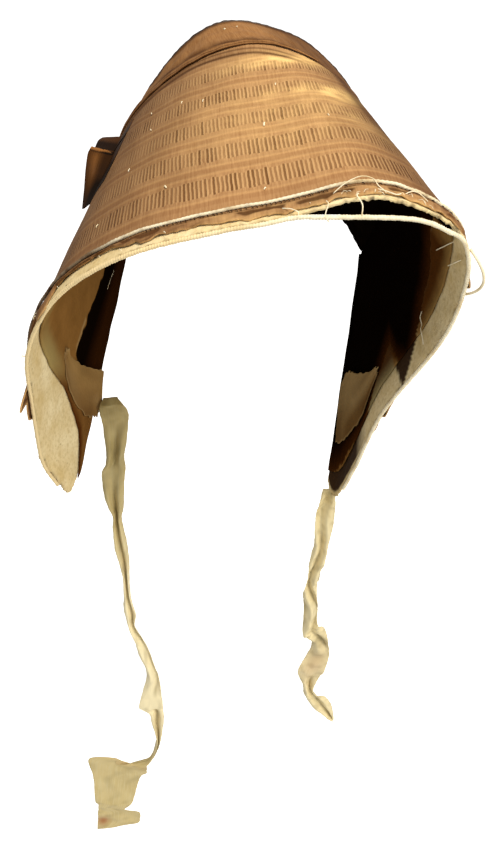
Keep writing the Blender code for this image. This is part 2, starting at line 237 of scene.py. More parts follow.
# The form from the low end of the left cheek over the top to that of the right cheek, as
# shares of the sizes: edge, seam and tip points (across, along, up), then the lining's reach
FORM_ROWS = np.array((
    (-1.00, 0.455, -1.01, -1.05, 0.94, -0.91, -0.88, 0.98, -0.89, 0.84),
    (-1.02, 0.49, -0.96, -1.05, 0.96, -0.84, -0.91, 0.99, -0.84, 0.79),
    (-1.07, 0.60, -0.80, -1.04, 0.99, -0.70, -0.97, 1.00, -0.69, 0.76),
    (-1.03, 0.72, -0.58, -1.01, 1.02, -0.49, -1.01, 0.99, -0.46, 0.87),
    (-0.98, 0.80, -0.415, -0.95, 1.03, -0.29, -0.97, 0.98, -0.25, 0.93),
    (-0.80, 0.88, -0.26, -0.76, 1.03, -0.13, -0.80, 0.96, -0.09, 0.95),
    (-0.50, 0.955, -0.15, -0.48, 0.94, 0.02, -0.55, 0.94, 0.07, 0.96),
    (-0.19, 0.98, -0.10, -0.19, 0.81, 0.12, -0.31, 0.93, 0.16, 0.96),
    (0.14, 0.985, -0.065, 0.08, 0.71, 0.15, -0.09, 0.93, 0.18, 0.96),
    (0.45, 0.975, -0.03, 0.32, 0.61, 0.12, 0.18, 0.93, 0.15, 0.95),
    (0.70, 0.93, -0.07, 0.58, 0.49, 0.04, 0.47, 0.94, 0.08, 0.95),
    (0.86, 0.87, -0.145, 0.78, 0.40, -0.08, 0.73, 0.95, -0.05, 0.91),
    (0.90, 0.81, -0.27, 0.91, 0.35, -0.21, 0.92, 0.97, -0.20, 0.88),
    (0.85, 0.72, -0.43, 0.99, 0.40, -0.39, 1.01, 0.99, -0.41, 0.88),
    (0.66, 0.62, -0.65, 1.02, 0.56, -0.61, 0.97, 1.00, -0.63, 0.90),
    (0.57, 0.52, -0.86, 0.98, 0.73, -0.79, 0.93, 0.99, -0.80, 0.91),
    (0.50, 0.47, -0.985, 0.95, 0.84, -0.89, 0.90, 0.99, -0.86, 0.91),
    (0.43, 0.44, -1.03, 0.94, 0.86, -0.91, 0.88, 0.98, -0.89, 0.88),
))
LAST_ROW = len(FORM_ROWS) - 1
TOP_ROW = 8.2
# a full turn in radians, as close as waves and twists need it
TURN = 6.28


def curve_through(rows, place):
    """Catmull-Rom curve through rows of values, read at places counted in rows."""
    rows = np.asarray(rows, dtype=float)
    last = len(rows) - 1
    inside = np.clip(place, 0.0, last)
    first = np.minimum(inside.astype(int), last - 1)
    part = (inside - first)[..., None]
    before, start = rows[np.maximum(first - 1, 0)], rows[first]
    end, after = rows[first + 1], rows[np.minimum(first + 2, last)]
    smooth = 0.5 * (2.0 * start + (end - before) * part
                    + (2.0 * before - 5.0 * start + 4.0 * end - after) * part ** 2
                    + (3.0 * start - before - 3.0 * end + after) * part ** 3)
    past_start = np.minimum(place, 0.0)[..., None] * (rows[1] - rows[0])
    past_end = np.maximum(place - last, 0.0)[..., None] * (rows[last] - rows[last - 1])
    return smooth + past_start + past_end


def form_lines(row):
    """Edge, seam and tip points of the form: the table's shares times its sizes."""
    shares = curve_through(FORM_ROWS, np.asarray(row, dtype=float))
    points = shares[..., :9].reshape(*shares.shape[:-1], 3, 3)
    points = points * np.array([EDGE_SIZES, SEAM_SIZES, TIP_SIZES])
    points[..., 2] -= COVER_WALL + BOARD_WALL + LINING_WALL + LAYER_GAP
    return points[..., 0, :], points[..., 1, :], points[..., 2, :]


def form_skin(row, reach):
    """Straight lines from the seam to the edge at reach 1 and to the tip at reach -1."""
    edge, seam, tip = form_lines(row)
    reach = np.asarray(reach, dtype=float)[..., None]
    return seam + (edge - seam) * np.maximum(reach, 0.0) + (tip - seam) * np.maximum(-reach, 0.0)


def form_frame(row, reach):
    """Outward normal and the way toward the edge, from differences of the skin."""
    step = 0.02
    toward = form_skin(row, np.minimum(reach + step, 1.2))
    toward = toward - form_skin(row, np.maximum(reach - step, -1.0))
    toward /= np.linalg.norm(toward, axis=-1, keepdims=True)
    along = form_skin(row + step, reach) - form_skin(row - step, reach)
    normal = np.cross(toward, along)
    return normal / np.linalg.norm(normal, axis=-1, keepdims=True), toward


def form_point(row, reach, depth):
    """The skin moved inward along its normal by a depth."""
    row, reach, depth = np.broadcast_arrays(
        np.asarray(row, float), np.asarray(reach, float), np.asarray(depth, float))
    return form_skin(row, reach) - form_frame(row, reach)[0] * depth[..., None]


def brim_length(row):
    """Distance from the seam to the edge."""
    edge, seam, _ = form_lines(row)
    return np.linalg.norm(edge - seam, axis=-1)


def cheek_cut(row):
    """Share of the brim's length taken off by the round low end of a cheek."""
    return CHEEK_ROUND_SHARE * np.clip(1.0 - np.minimum(row, LAST_ROW - row), 0.0, 1.0) ** 2


def from_edge(row, distance):
    """Reach of a point at a distance inside the brim's edge."""
    return 1.0 - cheek_cut(row) - distance / brim_length(row)


def unit(values):
    """Values held between 0 and 1."""
    return np.clip(values, 0.0, 1.0)


def blend(start, end, share):
    """From the start at a share of 0 to the end at 1."""
    return start + (end - start) * share


def bell(values, width):
    """1 where the values are 0, falling off over a width."""
    return np.exp(-(values / width) ** 2)


def way_along(points):
    """Length along a line of points, from 0 at the first."""
    steps = np.linalg.norm(np.diff(points, axis=0), axis=1)
    return np.concatenate([[0.0], np.cumsum(steps)])


def waves(x, y, seed, count=9):
    """Smooth noise from -1 to 1: a mean of sines of x and y in turned directions."""
    random = np.random.default_rng(seed)
    total = np.zeros_like(x + y)
    for angle, stretch, phase in random.uniform((0, 0.6, 0), (TURN, 1.7, TURN), (count, 3)):
        total += np.sin((x * math.cos(angle) + y * math.sin(angle)) * stretch * TURN + phase)
    return total / math.sqrt(count) / 1.5


def wander(x, y, seed):
    """A drift of a path's points along the three axes."""
    return np.stack([waves(x, y, seed + axis) for axis in range(3)], axis=-1)


def grid(columns, rows):
    """Two arrays from 0 to 1 that run along and across a grid of faces."""
    return np.meshgrid(np.linspace(0.0, 1.0, columns + 1), np.linspace(0.0, 1.0, rows + 1),
                       indexing="ij")


def grid_faces(index, inward=False):
    """The four corners of each face of a grid of point numbers."""
    corners = [index[:-1, :-1], index[:-1, 1:], index[1:, 1:], index[1:, :-1]]
    if inward:
        corners.reverse()
    return np.stack(corners, axis=-1).reshape(-1, 4).tolist()


def new_piece(name, points, faces, material):
    """A smooth mesh in the scene."""
    mesh = bpy.data.meshes.new(name)
    mesh.from_pydata(points.reshape(-1, 3), [], faces)
    mesh.polygons.foreach_set("use_smooth", np.ones(len(mesh.polygons), dtype=bool))
    mesh.materials.append(material)
    piece = bpy.data.objects.new(name, mesh)
    bpy.context.scene.collection.objects.link(piece)
    return piece


def tube_faces(rings, sides, start=0):
    """Faces of a tube from its first point's number on: its wall and both ends."""
    index = np.arange(rings * sides).reshape(rings, sides) + start
    wall = grid_faces(np.concatenate([index, index[:, :1]], axis=1))
    return wall + [index[0, ::-1].tolist(), index[-1].tolist()]


def finish_piece(piece, slot, *nodes):
    """The piece rides on the bonnet and stands for CAD nodes, whose parts it hides; slot is not
    used.
    """
    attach(piece, "root")
    if nodes:
        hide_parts(*nodes)


def add_surface(node, stuff, slot, points, material, uv=None, wall=0.0, round_way=False,
                inward=False, inside=None, **values):
    """A grid of points in a CAD node's place: a smooth mesh with UVs and named values.

    wall thickens it behind, with the material inside on that face. round_way makes the grid a
    tube with closed ends. inward turns the faces to the head.
    """
    columns, rows = points.shape[:2]
    if round_way:
        faces = tube_faces(columns, rows)
    else:
        faces = grid_faces(np.arange(columns * rows).reshape(columns, rows), inward)
    piece = new_piece(node + "_" + stuff, points, faces, material)
    mesh = piece.data
    if uv is not None:
        corner_points = np.empty(len(mesh.loops), dtype=int)
        mesh.loops.foreach_get("vertex_index", corner_points)
        flat = np.stack(uv, axis=-1).reshape(-1, 2)
        mesh.uv_layers.new(name="cloth").data.foreach_set("uv", flat[corner_points].ravel())
    for label, value in values.items():
        attribute = mesh.attributes.new(label, "FLOAT", "POINT")
        attribute.data.foreach_set("value", unit(value).ravel())
    if wall:
        solidify = piece.modifiers.new("wall", "SOLIDIFY")
        solidify.thickness = wall
        solidify.offset = -1.0
    if inside:
        mesh.materials.append(inside)
        solidify.material_offset = 1
    finish_piece(piece, slot, node)
    return piece


# Distances from the edge to the middle of each dashed band, and sizes of its weave
BAND_FIRST = 0.0375
BAND_PITCH = 0.0315
BAND_COUNT = 5
BAND_HALF_HEIGHT = 0.0080
BAND_SHRINK = 0.0005
DASH_PITCH = 0.00240
LINE_OFFSET = 0.0120


def cloth_place(row, reach):
    """Place on the flat silk: way round the brim from its top, and distance from the edge.

    The woven bands run straight, so they part from the curved edge toward both sides.
    """
    fine = np.linspace(-0.6, LAST_ROW + 0.6, 900)
    lengths = []
    for level in (0.0, 0.5, 1.0):
        length = way_along(form_skin(fine, np.full_like(fine, level)))
        lengths.append(np.interp(row, fine, length - np.interp(TOP_ROW, fine, length)))
    seam_way, middle_way, edge_way = lengths
    low = seam_way + (middle_way - seam_way) * unit(reach * 2.0)
    around = low + (edge_way - middle_way) * unit(reach * 2.0 - 1.0)
    distance = (1.0 - reach) * brim_length(row)
    bow_share = 0.018 * np.clip(np.abs(row - TOP_ROW), 0.0, 3.4) ** 2
    return around, distance / (1.0 + bow_share * unit(distance / 0.07))


def spot(around, distance, centre, size, turn=0.0):
    """A soft round patch from 0 to 1, a Gaussian of the distance to its centre."""
    x, y = around - centre[0], distance - centre[1]
    a = (x * math.cos(turn) + y * math.sin(turn)) / size[0]
    b = (y * math.cos(turn) - x * math.sin(turn)) / size[1]
    return np.exp(-(a * a + b * b))


def spots(around, distance, patches):
    """Patches added up, each (amount, centre, size, turn if any)."""
    return sum(amount * spot(around, distance, *patch) for amount, *patch in patches)


def silk_material(name, base, dark, light, figured):
    """Silk taffeta: soft gloss, fine ribs across the cloth and, if figured, dashed bands.

    A distance d is counted from the middle of the nearest band. Inside the half height the
    dashes are dark ribs of one pitch, each with its own strength. At the line offset a pale
    line runs along the band on each side, and the strip beyond it is a shade darker.
    """
    material = new_material(name)
    place, around, distance = on_cloth(material)
    times, plus, minus = (functools.partial(math_node, material, kind)
                          for kind in ("MULTIPLY", "ADD", "SUBTRACT"))
    cloud = noise(material, place, 26.0, 4.0, 0.6)
    ribs = noise(material, place_of(material, times(around, 900.0), times(distance, 55.0)),
                 1.0, 3.0, 0.7)
    colour = mixed(material, times(cloud, 0.9, clamp=True), dark, base)
    colour = mixed(material, ramped(material, ribs, 0.30, 0.70, 0.55), colour, light)
    height = times(ribs, 0.6)
    if figured:
        band = math_node(material, "DIVIDE", minus(distance, BAND_FIRST), BAND_PITCH)
        number = math_node(material, "ROUND", band)
        offset = times(math_node(material, "ABSOLUTE", minus(band, number)), BAND_PITCH)
        inside = times(math_node(material, "GREATER_THAN", number, -0.5),
                       math_node(material, "LESS_THAN", number, BAND_COUNT - 0.5))
        wobble = noise(material, place, 160.0, 1.0)
        count = plus(math_node(material, "DIVIDE", around, DASH_PITCH), times(wobble, 0.30))
        seed = place_of(material, math_node(material, "FLOOR", count), number)
        chance = add_node(material, "ShaderNodeTexWhiteNoise", {}, {0: seed}).outputs["Value"]
        side = math_node(material, "ABSOLUTE", minus(math_node(material, "FRACT", count), 0.5))
        stroke = ramped(material, side, 0.33, 0.17)
        tall = minus(BAND_HALF_HEIGHT, times(number, BAND_SHRINK))
        reach = times(tall, plus(0.86, times(chance, 0.22)))
        within = ramped(material, minus(offset, reach), 0.0004, -0.0004)
        strength = times(plus(0.36, times(chance, 0.70)), minus(1.0, own_value(material, "worn")))
        dash = times(times(stroke, within), times(strength, inside))
        fringe = times(minus(1.0, stroke), times(within, inside))
        from_line = math_node(material, "ABSOLUTE", minus(offset, LINE_OFFSET))
        line = times(ramped(material, from_line, 0.0019, 0.0002), inside)
        between = ramped(material, offset, LINE_OFFSET + 0.0010, LINE_OFFSET + 0.0024, 0.24)
        for factor, hue in ((times(fringe, 0.32), "#D4AC78"),
                            (times(dash, 0.90, clamp=True), "#5A3417"),
                            (times(line, 0.26), "#CFA26B"), (between, "#7A4B27")):
            colour = mixed(material, factor, colour, hue)
        height = plus(minus(height, times(dash, 1.4)), times(line, 0.8))
    # painted sheen and painted shade, from the piece's own values
    colour = stained(material, colour, (("glow", "#FBD088", 0.85), ("shade", "#3B1C05", 0.85)))
    finish_material(material, colour, 0.55, 0.03, height, 0.00030)
    return material


figured_silk = silk_material("figured_silk_taffeta", "#A1774D", "#835A39", "#C99F6F", True)

along, across = grid(340, 130)
row = along * LAST_ROW
across = across ** 1.5
length = brim_length(row)
reach = blend(GAP / length, from_edge(row, CORD_INSET) + CORD_RADIUS / length, across)
around, distance = cloth_place(row, reach)
band = (distance - BAND_FIRST) / BAND_PITCH
line_height = bell(np.abs(band - np.round(band)) * BAND_PITCH - LINE_OFFSET, 0.0010)
tuck = bell(reach * length - 0.0135, 0.0016)
relief = 0.00030 * (1.0 + waves(around * 26.0, distance * 22.0, 3))
relief += 0.00005 * line_height + 0.0007 * tuck * unit((9.4 - row) / 3.0)
# Painted sheen: golden patches of highlight over the top of the brim
glow = spots(around, distance, (
    (1.3, (0.051, 0.128), (0.024, 0.0100), 0.25), (0.45, (0.020, 0.176), (0.055, 0.010)),
    (0.35, (0.030, 0.128), (0.045, 0.006), 0.1), (0.22, (0.0, 0.10), (0.07, 0.05))))
glow += spots(around, distance, (
    (0.55, (0.008, 0.170), (0.040, 0.007), 0.15),
    (0.35, (0.065, 0.085), (0.030, 0.012), -0.3)))
glow *= 0.80 + 0.40 * waves(around * 60.0, distance * 120.0, 8)
# Painted shade: a soft shadow along the seam under the crown, darker toward both sides where the
# light falls off, and a dark rim by the right silhouette. Two dark lines mark the hem; the waves
# add random tone.
shade = 0.55 * bell(reach * length, 0.0018)
for hem, size in ((0.0120, 0.80), (0.0180, 1.0)):
    shade += size * bell(reach * length - hem, 0.0021) * unit((9.3 - row) / 0.8)
side_soil = 0.66 * unit((7.3 - row) / 2.3) + 0.70 * unit((row - 8.7) / 1.5)
side_soil += 0.45 * unit((row - 9.75) / 0.35) * unit((0.6 - reach) / 0.4)
shade += side_soil + 0.07 * waves(around * 30.0, distance * 14.0, 14)
worn = spots(around, distance, (
    (0.65, (-0.105, 0.10), (0.035, 0.075)), (0.55, (0.060, 0.150), (0.045, 0.035)),
    (0.35, (-0.06, 0.165), (0.05, 0.02))))
worn += 0.30 * waves(around * 40.0, distance * 18.0, 12)
add_surface("brim_cover", "silk", "figured_silk", form_point(row, reach, -relief),
            figured_silk, (around, distance), COVER_WALL * 0.85,
            glow=glow, shade=shade, worn=worn)


# Binding at the brim's edge
# A strip of the same silk rolled over the board outside the cord. Age has torn it: its
# front is ragged, slits gape along the top and loose tongues hang past the board's edge.

BINDING_INSET = 0.0045
TONGUES = np.array((
    # row, half length in rows, how far past the strip
    (1.70, 0.22, 0.0068), (1.98, 0.08, 0.0075), (2.92, 0.34, 0.0120), (3.16, 0.10, 0.0135),
    (4.68, 0.24, 0.0085), (6.3, 0.12, 0.0022), (10.55, 0.16, 0.0058), (11.85, 0.16, 0.0085),
    (12.4, 0.20, 0.0055), (13.95, 0.30, 0.0078), (14.28, 0.12, 0.0070),
))
# open slits along the roll: first and last row, share of the way across
SLITS = ((7.40, 8.00, 0.42), (8.10, 8.82, 0.48), (9.25, 9.64, 0.42), (5.95, 6.5, 0.4))


def torn(row, seed, pitch=0.055):
    """A ragged line from 0 to 1: steps of chance at a pitch in rows, with slanted sides."""
    random = np.random.default_rng(seed)
    knots = np.arange(-1.0, LAST_ROW + 1.0, pitch)
    return np.interp(row, knots + random.uniform(-0.4, 0.4, len(knots)) * pitch,
                     random.uniform(0.0, 1.0, len(knots)) ** 1.5)


along, across = grid(900, 14)
row = along * LAST_ROW
length = brim_length(row)
start = from_edge(row, CORD_INSET) + (GAP + CORD_RADIUS) / length
past = sum(size * unit(1.0 - ((row - middle) / half) ** 2) for middle, half, size in TONGUES)
wide = 0.0026 * unit((row - 6.9) / 0.6) * unit((11.0 - row) / 0.5)
end = from_edge(row, BINDING_INSET) + (past + wide + 0.0012 * torn(row, 5)
                                       - 0.0016 * torn(row, 6, 0.11)) / length
kept = np.clip((row - 5.7 + 0.5 * torn(row, 8, 0.09)) / 0.7, 0.16, 1.0)
kept = np.where(past > 0.0, 1.0, kept)
end = blend(start, end, kept)
reach = blend(start, end, across)
rolled = 0.0011 * np.sin(np.pi * across) ** 0.7
rolled += 0.0006 * waves(row * 4.0, across * 1.2, 21) * across
rolled -= 0.0006 * across ** 4
slit = sum(unit((row - low) / 0.07) * unit((high - row) / 0.07)
           * bell(across - middle - 0.05 * waves(row * 4.0, across, 4), 0.19)
           for low, high, middle in SLITS)
around, distance = cloth_place(row, reach)
# Painted shade: darker off the top of the roll, in the open slits and against the cord, with
# random dark blotches. The top of the roll has a paler tone, and the rolled-down rim is painted
# lighter against its own shadow.
smooth = unit((row - 6.7) / 0.5) * unit((10.3 - row) / 0.5)
shade = 0.56 - 0.36 * smooth + 1.6 * slit + 0.45 * bell(across, 0.10)
shade += (0.45 - 0.25 * smooth) * unit(waves(row * 3.0, across * 2.0, 23))
glow = (0.10 + 0.25 * unit(waves(row * 2.2, across * 1.5, 24))) * smooth
frayed_rim = bell(1.0 - across, 0.06)
shade, glow = shade * (1.0 - 0.6 * frayed_rim), glow + 0.35 * frayed_rim
add_surface("edge_binding", "silk", "figured_silk",
            form_point(row, reach, -(rolled - 0.0009 * slit)), figured_silk, (around, distance),
            COVER_WALL * 0.8, shade=shade, glow=glow, worn=np.ones_like(row))


# Brim board
# Stiff cream paper board that gives the brim its shape, bare at the edge and down the left
# cheek, with its cut edge gone soft and furry and small holes where stitches pulled out.

BOARD_DEPTH = COVER_WALL + LAYER_GAP
SEAM_CLEARANCE = 0.0014


def board_material():
    """Old board: cream with soft darker clouds, specks of dirt and a furry fine grain."""
    material = new_material("old_cream_board")
    place = on_piece(material)
    cloud = noise(material, place, 38.0, 5.0, 0.65)
    fine = noise(material, place, 420.0, 3.0)
    colour = mixed(material, ramped(material, cloud, 0.36, 0.68), "#E6D4A8", "#CFB680")
    colour = mixed(material, ramped(material, fine, 0.45, 0.75, 0.45), colour, "#AE9058")
    speck = add_node(material, "ShaderNodeTexVoronoi", {}, {
        "Vector": place, "Scale": 130.0}).outputs["Distance"]
    colour = mixed(material, ramped(material, speck, 0.10, 0.04, 0.5), colour, "#7A5A30")
    # the piece's shade value: dark marks along the edge, and painted shade on the right cheek
    colour = stained(material, colour, (("shade", "#35210C"),))
    finish_material(material, colour, 0.9, 0.15, math_node(material, "ADD", cloud, fine), 0.0004)
    return material


def wedge(row, reach):
    """Painted shadow in the tear that runs down to the edge of the right cheek, from 0 to 1."""
    above = row - (13.19 + (reach - 0.839) * 2.37)
    below = 13.76 - (reach - 0.779) * 0.58 - row
    return unit(above / 0.02) * unit(below / 0.02)


cream_board = board_material()
along, across = grid(520, 56)
row = along * LAST_ROW
across = 1.0 - (1.0 - across) ** 1.7
length = brim_length(row)
board_end = 1.0 - cheek_cut(row)
reach = blend(SEAM_CLEARANCE / length,
              board_end + (0.0013 * torn(row, 41, 0.05) - 0.0006) / length, across)
inset = (board_end - reach) * length
near_edge = bell(inset, 0.0016)
relief = 0.00025 * waves(row * 3.0, reach * 6.0, 42) + 0.0006 * near_edge * waves(
    row * 14.0, reach * 9.0, 43)
# Dark patches along the edge; painted shade in the tear on the right cheek and inside that cheek's
# low end
shade = 0.5 * near_edge * unit(torn(row, 44, 0.06) * 2.4 - 1.3)
shade += 0.35 * bell((1.0 - reach) * length, 0.0009) * torn(row, 46, 0.03)
shade = np.maximum(shade, wedge(row, reach))
inner_cheek = unit((row - 14.5) / 0.5) * unit((inset - 0.0020) / 0.002)
shade = np.maximum(shade, inner_cheek)
add_surface("brim_board", "paper", "cream_board",
            form_point(row, reach, BOARD_DEPTH + BOARD_WALL + relief), cream_board,
            wall=BOARD_WALL, inward=True, shade=shade)


# Brim lining
# Plain glazed cotton pasted to the board. It is torn away deep in the left cheek and along
# the right one, and what lies behind the tears is painted almost black for the shade inside.

LINING_DEPTH = BOARD_DEPTH + BOARD_WALL + LAYER_GAP
# row, reach: behind this line the lining is torn away or lies in the dark; the left cheek
# has its own line, left_dark below
LINING_TEAR = np.array((
    (3.4, 0.22), (4.6, 0.30), (5.6, 0.86), (6.4, 0.97), (11.0, 0.97), (11.3, 0.74),
    (11.8, 0.70), (12.15, 0.714), (12.5, 0.749), (12.8, 0.770), (13.0, 0.80), (13.22, 0.86),
    (13.34, 0.92), (13.45, 0.99), (13.60, 0.90), (13.72, 0.765), (13.91, 0.81), (14.24, 0.88),
    (14.60, 0.93), (15.3, 0.90), (17.5, 0.90),
))


def lining_material():
    """Brown glazed cotton: faint cross weave and stains, with painted shade, near black behind the
    tears.
    """
    material = new_material("old_brown_cotton_lining")
    place = on_piece(material)
    cloud = noise(material, place, 45.0, 4.0, 0.6)
    fine = noise(material, place, 520.0, 2.0)
    colour = mixed(material, math_node(material, "MULTIPLY", cloud, 1.1, clamp=True),
                   "#5E3F1B", "#8A6232")
    colour = stained(material, colour, (
        ("olive", "#937F4E"), ("pale", "#A08458"), ("bare", "#83744F"), ("deep", "#0B0502"),
        ("warm", "#4A270C")))
    height = math_node(material, "ADD", math_node(material, "MULTIPLY", cloud, 1.5), fine)
    finish_material(material, colour, 1.0, 0.0, height, 0.0003)
    return material


brown_lining = lining_material()
along, across = grid(560, 76)
row = along * LAST_ROW
length = brim_length(row)
lining_end = curve_through(FORM_ROWS, row)[..., 9] + 0.08 * unit(1.1 - row)
reach = blend(SEAM_CLEARANCE / length,
              lining_end + (0.0006 * torn(row, 51, 0.08) - 0.0004) / length, across)
inset = (lining_end - reach) * length
tear = np.interp(row, *LINING_TEAR.T) + 0.005 * waves(row * 4.0, reach * 3.0, 52, 5)
past_tear = (reach - tear) * length
left_side = row < 4.0
# Painted shadow: deep turns the cotton near black where the shaded inside of the bonnet shows
# behind the tears and low in the left cheek
behind = unit((tear - reach) * length / 0.0012 + 0.5)
left_dark = unit((2.24 + 0.05 * waves(reach * 14.0, row, 53, 5) - row) / 0.05)
left_dark = np.maximum(left_dark * unit((0.645 - reach) / 0.01),
                       unit((0.215 + 0.02 * (row - 2.2) - reach) / 0.02))
deep = np.where(left_side, left_dark, behind)
# Painted shade: dark brown near the right tear and over the right strip, a shadow along the
# lining's edge low in the left cheek, and darker toward that cheek's low end
deep_right = unit((row - 11.4) / 0.4)
warm = 0.75 * unit(1.0 - (tear - reach) / 0.14) ** 1.5 * deep_right * (deep > 0.5)
warm += 0.90 * deep_right * (deep <= 0.5) * unit((lining_end - reach) * 16.0)
warm += 0.85 * bell(inset, 0.0045) * unit((2.9 - row) / 0.8) + 0.30 * unit((1.7 - row) / 0.5)
border = np.exp(-(inset / 0.0130) ** 4)
olive = np.where(left_side, 0.9 * border * unit((row - 2.1) / 0.9)
                 * unit((4.3 - row) / 0.9),
                 0.4 * unit((reach - tear) / (lining_end - tear + 0.001)) ** 2
                 * unit((13.75 - row) / 0.2))
# pale: a painted highlight on the raised torn edge on the right, and the pale torn fringe on the
# left
pale = bell(past_tear - 0.0008, 0.0011) * (row > 11.3) * (row < 13.4)
pale = pale + 0.6 * bell(row - 2.30, 0.035) * (reach < 0.65) * (reach > 0.52)
bare = unit(past_tear / 0.0012) * unit((row - 13.66) / 0.04) * unit((14.9 - row) / 0.35)
raised = 0.0008 * (1.0 - deep) + 0.0004 * waves(row * 3.0, reach * 5.0, 54)
relief = raised * unit(inset / 0.004)
add_surface("brim_lining", "cotton", "tan_lining",
            form_point(row, reach, LINING_DEPTH + 0.0009 + relief), brown_lining,
            wall=LINING_WALL * 0.8, inward=True,
            deep=deep, olive=olive, pale=pale, bare=bare, warm=warm)


# Torn flaps of lining
# Two pieces of the same cotton torn loose at the cheeks. The left tie hangs from one.

FLAP_CURL = 0.0025
FLAP_WALL = 0.0009
INNER_DEPTH = COVER_WALL + BOARD_WALL + LINING_WALL + 2.0 * LAYER_GAP + GAP


def add_flap(node, first_row, rows, reaches, seed, curl_last=False, front_pale=0.0):
    """A flap between a low and a high curve of reach, curled inward at its low end.

    curl_last puts the curl at its last row; front_pale lightens the side nearer the crown.
    """
    along, across = grid(110, 60)
    low, high = (curve_through(np.array(side)[:, None], along * (len(side) - 1))[..., 0]
                 for side in reaches)
    row = first_row + rows * along + 0.04 * waves(across * 4.0, along * 2.0, seed) * (
        np.abs(along - 0.5) * 2.0) ** 6
    reach = blend(low, high, across)
    reach += 0.006 * waves(along * 6.0, across * 2.0, seed + 1) * (
        np.abs(across - 0.5) * 2.0) ** 4
    curl = along if curl_last else 1.0 - along
    depth = INNER_DEPTH + FLAP_CURL * curl ** 2 + FLAP_WALL * (1.0 - 0.6 * across)
    depth = depth + 0.0007 * (1.0 + waves(along * 2.5, across * 1.5, seed + 2)) * (
        1.0 - 0.8 * across)
    rim = np.maximum(np.abs(along - 0.5), np.abs(across - 0.5)) * 2.0
    pale = 0.20 + 0.6 * unit(rim * 14.0 - 13.2) + 0.35 * unit(
        waves(along * 1.5, across * 1.2, seed + 3))
    pale = pale + front_pale * unit((0.80 - across) / 0.35)
    # Painted shade along the side toward the brim's edge, with random darker tone
    warm = 0.55 * bell(1.0 - across, 0.40) * (1.0 - 0.7 * unit(pale))
    warm = warm + 0.20 * unit(waves(along * 2.0, across * 1.6, seed + 4))
    add_surface(node, "cotton", "tan_lining", form_point(row, reach, depth), brown_lining,
                wall=FLAP_WALL * 0.8, inward=True, pale=pale, warm=warm,
                olive=0.2 * np.ones_like(row))


add_flap("lining_flap_left", 2.72, -2.82, ((0.735, 0.645, 0.570, 0.525, 0.60),
                                           (0.755, 0.745, 0.735, 0.700, 0.675)), 61,
         curl_last=True)
add_flap("lining_flap_right", 16.2, -2.2, ((0.57, 0.545, 0.60, 0.70, 0.80),
                                           (0.79, 0.83, 0.85, 0.88, 0.83)), 71,
         front_pale=0.65)


# Cord and wire along the edge
# A cream cord sewn down on the silk inside the edge, and a wire bound with cotton thread
# that runs along the board's edge and has come away from it at the top right.

WIRE_RADIUS = 0.0013
# how far the loose stretch of wire hangs below the board's edge, in millimetres, at every
# fifth of a row from row 8
WIRE_DROPS = np.array((0.0, 1.2, 3.8, 6.2, 7.9, 8.8, 8.6, 7.7, 6.3, 5.1, 4.4, 4.0, 3.6, 2.3,
                       0.8, 0.0))[:, None]


def thread_material(name, light, dark, dirt, soiling="#4A2F16"):
    """Cotton thread: two creams mixed by fine noise, soiled in larger clouds.

    A piece's own soil value turns it toward the shifted hue.
    """
    material = new_material(name)
    place = on_piece(material)
    fine = noise(material, place, 700.0, 2.0)
    cloud = noise(material, place, 60.0, 3.0)
    colour = mixed(material, fine, light, dark)
    colour = mixed(material, ramped(material, cloud, 0.50, 0.72, 0.7), colour, dirt)
    colour = stained(material, colour, (("soil", soiling),))
    finish_material(material, colour, 0.8, 0.2)
    return material


def tube_surface(path, radius, sides, lumps=None):
    """Rings of points round a path, each turned by the least twist from the last.

    lumps(way, angle) is a share added to the radius; way is the length along the path.
    """
    path = np.asarray(path, dtype=float)
    tangent = np.gradient(path, axis=0)
    tangent /= np.linalg.norm(tangent, axis=1, keepdims=True)
    first = np.empty_like(path)
    start = np.cross(tangent[0], (0.31, 0.52, 0.79))
    for number, way in enumerate(tangent):
        start = start - way * np.dot(start, way)
        start = start / np.linalg.norm(start)
        first[number] = start
    second = np.cross(tangent, first)
    angle = np.linspace(0.0, 2.0 * np.pi, sides, endpoint=False)
    way = way_along(path)[:, None]
    size = radius * np.ones((len(path), sides))
    if lumps is not None:
        size = size * (1.0 + lumps(way, angle[None, :]))
    ring = first[:, None] * np.cos(angle)[:, None] + second[:, None] * np.sin(angle)[:, None]
    return path[:, None] + ring * size[..., None]


cream_thread = thread_material("cream_cotton_thread", "#F1E9D2", "#DCCCA4", "#BA9C64")
brown_thread = thread_material("brown_sewing_thread", "#3B2412", "#2A180B", "#1E1108")
wire_binding = thread_material("yellowed_cotton_wire_binding", "#F1E9D2", "#DCCCA4", "#BA9C64",
                               "#DDC593")

row = np.linspace(2.0, LAST_ROW - 2.5, 2600)
cord_path = form_point(row, from_edge(row, CORD_INSET), -(CORD_RADIUS * 0.9 + GAP))
cord_path += 0.00025 * wander(row * 2.0, row * 0.3, 80)
# The cord is darker along its left part, below row 6, with random darker stretches.
soil = 0.10 + np.clip((6.0 - row) / 0.6, 0.0, 0.75) + 0.25 * np.clip(waves(row * 5, row, 83), 0, 1)
cord = tube_surface(cord_path, CORD_RADIUS * 0.78, 10, lambda way, angle:
                    0.10 * np.cos(2.0 * angle + way * TURN / 0.0024))
add_surface("edge_cord", "cotton", "cream_thread", cord, cream_thread, round_way=True,
            soil=np.repeat(soil, 10))

